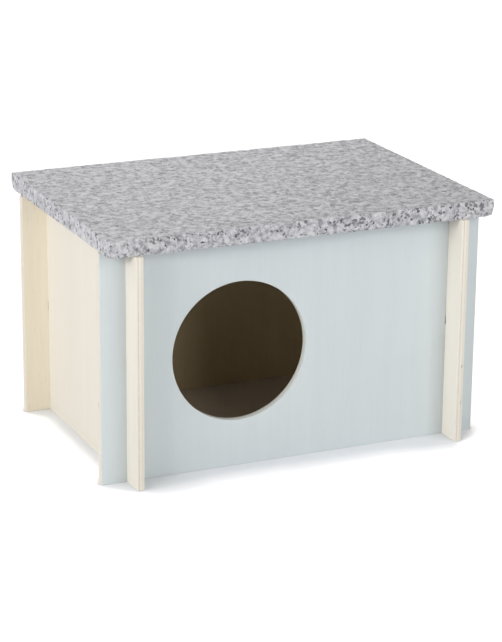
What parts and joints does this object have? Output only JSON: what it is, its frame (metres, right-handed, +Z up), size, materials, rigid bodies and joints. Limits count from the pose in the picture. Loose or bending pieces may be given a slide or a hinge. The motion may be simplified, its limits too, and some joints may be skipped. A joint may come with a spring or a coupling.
{
  "type": "pet cooling house",
  "caption": "Floorless box house for a small pet: slot-together plywood walls, a round entrance off centre, and a loose granite roof slab that keeps it cool.",
  "frame": {"origin": "on the ground under the middle of the walls", "axes": "+Z up, -Y out of the entrance, +X to the right as seen from the front"},
  "size_m": [0.2642, 0.186, 0.161],
  "materials": {
    "granite": "satin-polished light grey granite with fine black and white grain, sawn and slightly bevelled edges",
    "painted_ply": "thin matt pale blue-grey paint on the outer face, bare cream plywood on the inner face and the edges",
    "natural_ply": "bare sanded cream plywood with brown glue lines on the edges"
  },
  "bodies": {
    "walls": {"front_panel": "painted_ply", "back_panel": "painted_ply", "left_side_panel": "natural_ply", "right_side_panel": "natural_ply"},
    "roof": {"roof_slab": "granite"}
  },
  "joints": [
    {"name": "roof_lift", "type": "slide", "parent": "walls", "child": "roof", "axis": [0, 0, 1], "range_m": [0, 0.12]}
  ]
}
